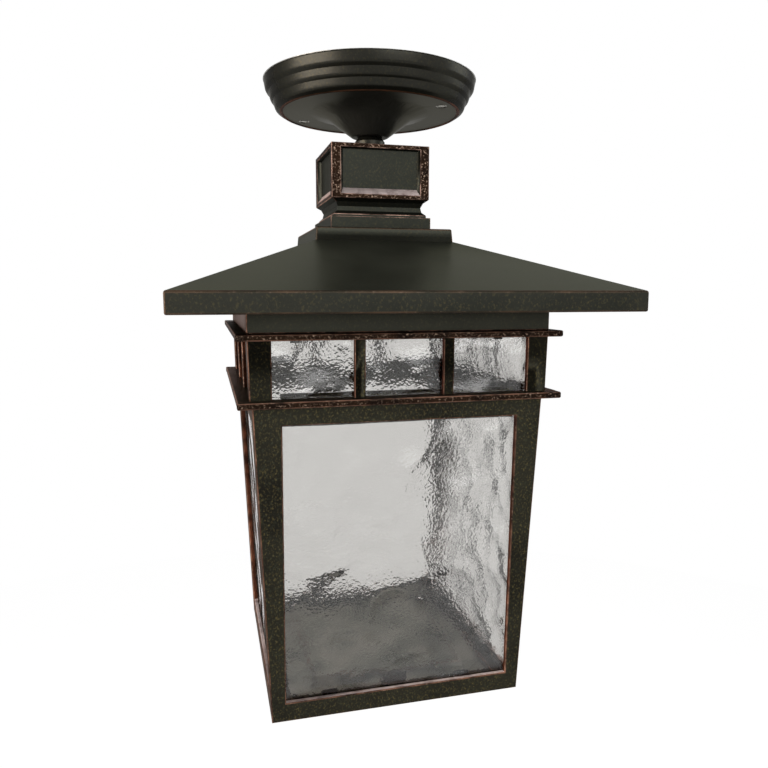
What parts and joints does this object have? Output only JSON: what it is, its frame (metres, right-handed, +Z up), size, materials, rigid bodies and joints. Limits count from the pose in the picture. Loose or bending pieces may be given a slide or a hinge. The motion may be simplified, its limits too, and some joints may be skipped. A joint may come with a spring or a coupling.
{
  "type": "porch ceiling lantern",
  "caption": "Square cast-metal ceiling lantern: round canopy, panelled stem, hip roof, glazed cage with a band of small lights and a hinged bottom.",
  "frame": {"origin": "centre of the canopy's rim, on the ceiling", "axes": "+Z up into the ceiling, -Y towards the lantern's front face, +X to the right of someone looking at that face"},
  "size_m": [0.228, 0.228, 0.3467],
  "materials": {
    "bronze": "oil-rubbed bronze: satin dark green-brown with copper wear on the edges",
    "steel": "zinc-plated steel",
    "green_steel": "green ground screw",
    "brass": "drawn brass",
    "porcelain": "white glazed porcelain, stood in for by gloss plastic",
    "clear_glass": "clear hammered glass"
  },
  "bodies": {
    "ceiling_mount": {"canopy": "bronze", "threaded_nipple": "steel", "canopy_washer": "steel", "canopy_nut": "steel", "swivel_collar": "bronze", "hanger_washer": "steel", "hanger_nut": "steel"},
    "lantern": {"stem": "bronze", "roof": "bronze", "cage_top": "bronze", "front_wall": "bronze", "front_upper_glass": "clear_glass", "front_lower_glass": "clear_glass", "front_pane_retainer": "bronze", "right_wall": "bronze", "right_upper_glass": "clear_glass", "right_lower_glass": "clear_glass", "right_pane_retainer": "bronze", "back_wall": "bronze", "back_upper_glass": "clear_glass", "back_lower_glass": "clear_glass", "back_pane_retainer": "bronze", "left_wall": "bronze", "left_upper_glass": "clear_glass", "left_lower_glass": "clear_glass", "left_pane_retainer": "bronze", "stem_screws": "steel", "roof_screws": "steel", "wall_screws": "steel", "retainer_screws": "steel", "glass_clips": "steel", "glass_clip_screws": "steel", "corner_screws": "steel", "socket_strap": "steel", "strap_screws": "steel", "socket_nipple": "steel", "socket_nut": "steel", "hinge_pin": "steel", "ground_screw": "green_steel", "socket_body": "porcelain", "socket_shell": "brass", "socket_contact": "brass"},
    "door": {"bottom_door": "bronze", "door_catch": "steel", "catch_rivets": "steel"}
  },
  "joints": [
    {"name": "swivel", "type": "hinge", "parent": "ceiling_mount", "child": "lantern", "pos_m": [0, 0, -0.04], "axis": [0, 0, 1], "range_deg": [-170, 170]},
    {"name": "door_hinge", "type": "hinge", "parent": "lantern", "child": "door", "pos_m": [0, 0.0636, -0.3436], "axis": [1, 0, 0], "range_deg": [0, 95]}
  ]
}
